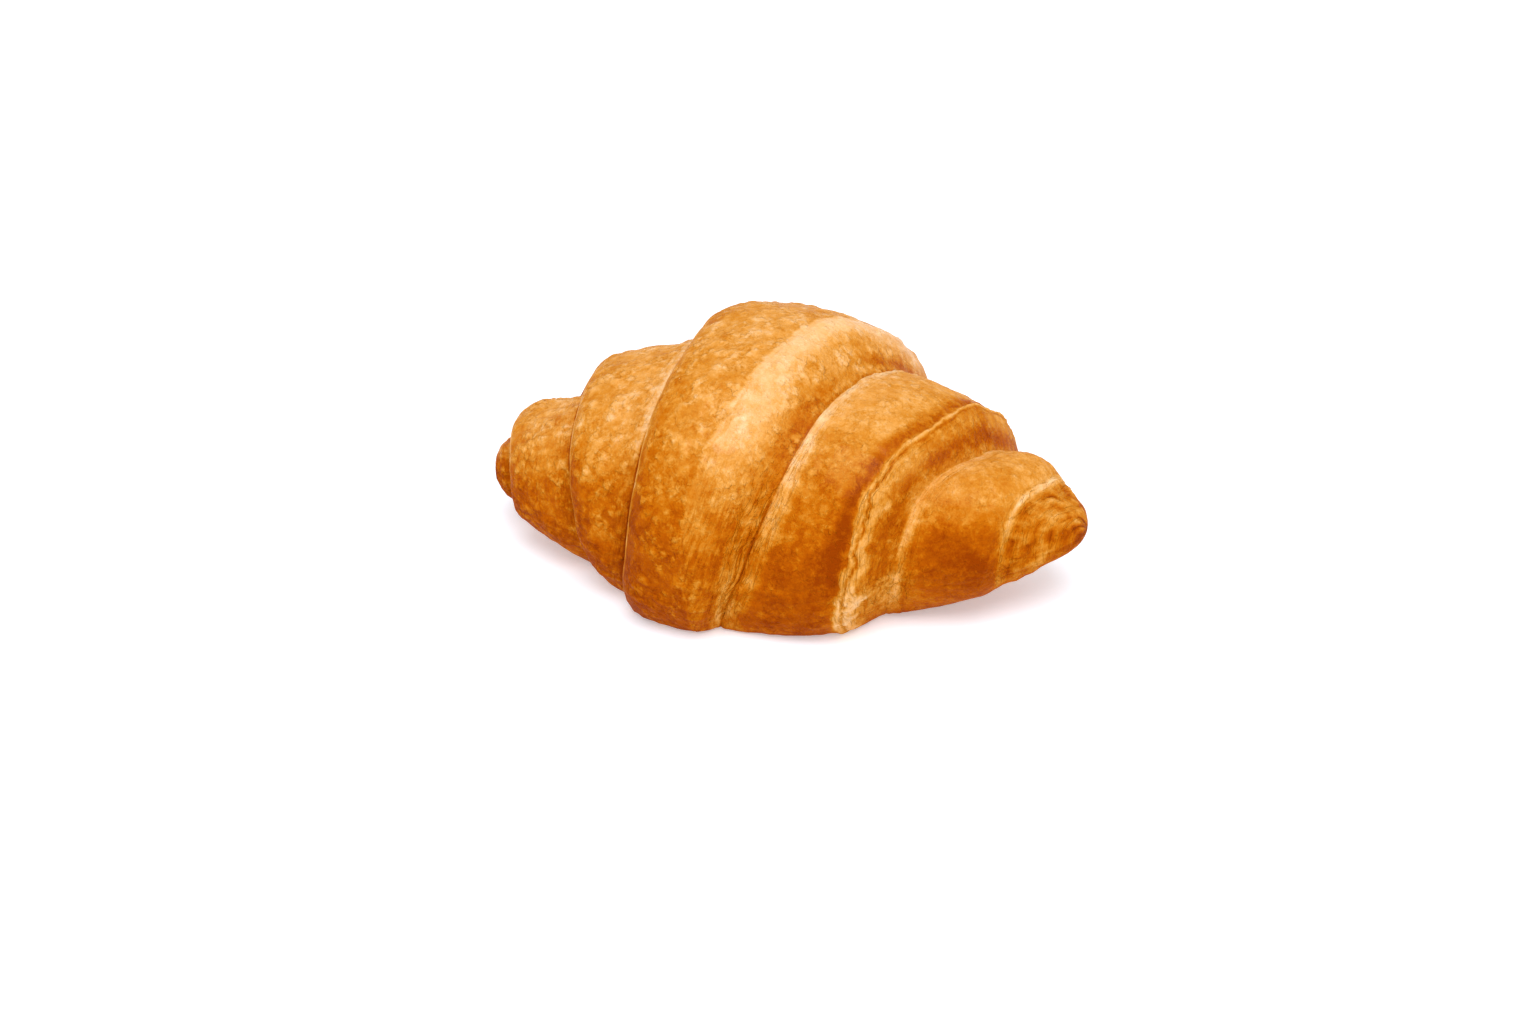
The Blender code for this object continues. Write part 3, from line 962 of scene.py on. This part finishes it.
# %% Floor
FLOOR_SIZE, FLOOR_GLOW = 6.0, 0.34
FLOOR_COLOUR = (0.80, 0.85, 0.93, 1.0)

bpy.ops.mesh.primitive_plane_add(size=FLOOR_SIZE)
floor = bpy.context.object
floor.name = floor.data.name = "floor"
paper = Recipe("white_card")
paper.feed(paper.shader.inputs["Base Color"], FLOOR_COLOUR)
paper.feed(paper.shader.inputs["Emission Color"], (1.0, 1.0, 1.0, 1.0))
paper.feed(paper.shader.inputs["Emission Strength"], FLOOR_GLOW)
paper.feed(paper.shader.inputs["Roughness"], 1.0)
paper.feed(paper.shader.inputs["Specular IOR Level"], 0.0)
floor.data.materials.append(paper.material)
print("floor:", FLOOR_SIZE, "m across")

# %% [markdown]
# ## The camera
#
# Food is usually seen from a seat at the table: a little to one side and looking
# down by about thirty degrees. A long lens from almost a metre away keeps the near tip
# from swelling. The direction is worked out as an arrow from the croissant to the
# camera, and the camera is turned to look back along it.

# %% Camera
SIDE_TURN, LOOK_DOWN, CAMERA_DISTANCE = math.radians(18.0), math.radians(28.0), 0.828
LENS_MM, SENSOR_MM = 84.4, 36.0
TARGET = Vector((-5.4, 5.0, 9.0)) * MM

level_share, up_share = math.cos(LOOK_DOWN), math.sin(LOOK_DOWN)
to_camera = Vector((math.sin(SIDE_TURN) * level_share, -math.cos(SIDE_TURN) * level_share, up_share))
bpy.ops.object.camera_add(location=TARGET + to_camera * CAMERA_DISTANCE)
camera = bpy.context.object
camera.rotation_euler = to_camera.to_track_quat("Z", "Y").to_euler()
camera.data.lens = LENS_MM
camera.data.sensor_width = SENSOR_MM
bpy.context.scene.camera = camera
print("camera at", [round(v, 3) for v in camera.location])

# %% [markdown]
# ## Soft light from the front
#
# One large softbox stands above the camera and slightly to the right. It is a sun lamp
# with a wide angle, so its shadows have soft edges and no direction is hot. The room
# does the rest: bright low down, like white walls, and greyer overhead, so the steep
# sides of each wrap catch light and the folds keep their depth.

# %% Light and room
SOFTBOX_ANGLE, SOFTBOX_STRENGTH = math.radians(40.0), 2.00
TO_SOFTBOX = Vector((0.16, -0.42, 0.90))
WALL_TOP, CEILING_START = 0.12, 0.36
WALL_GREY, CEILING_GREY = (0.99, 0.99, 0.99, 1.0), (0.72, 0.72, 0.72, 1.0)

bpy.ops.object.light_add(type="SUN")
softbox = bpy.context.object
softbox.name = "softbox"
softbox.data.angle = SOFTBOX_ANGLE
softbox.data.energy = SOFTBOX_STRENGTH
softbox.rotation_euler = TO_SOFTBOX.to_track_quat("Z", "Y").to_euler()

room = bpy.data.worlds.new("studio")
bpy.context.scene.world = room
room.use_nodes = True
room_nodes, room_links = room.node_tree.nodes, room.node_tree.links
looking = room_nodes.new("ShaderNodeTexCoord")
upward = room_nodes.new("ShaderNodeSeparateXYZ")
walls = room_nodes.new("ShaderNodeValToRGB")
walls.color_ramp.elements[0].position, walls.color_ramp.elements[0].color = WALL_TOP, WALL_GREY
walls.color_ramp.elements[1].position, walls.color_ramp.elements[1].color = CEILING_START, CEILING_GREY
room_links.new(looking.outputs["Generated"], upward.inputs[0])
room_links.new(upward.outputs["Z"], walls.inputs["Fac"])
room_links.new(walls.outputs["Color"], room_nodes["Background"].inputs["Color"])
bpy.context.scene.view_settings.view_transform = "Standard"
print("softbox strength:", SOFTBOX_STRENGTH)
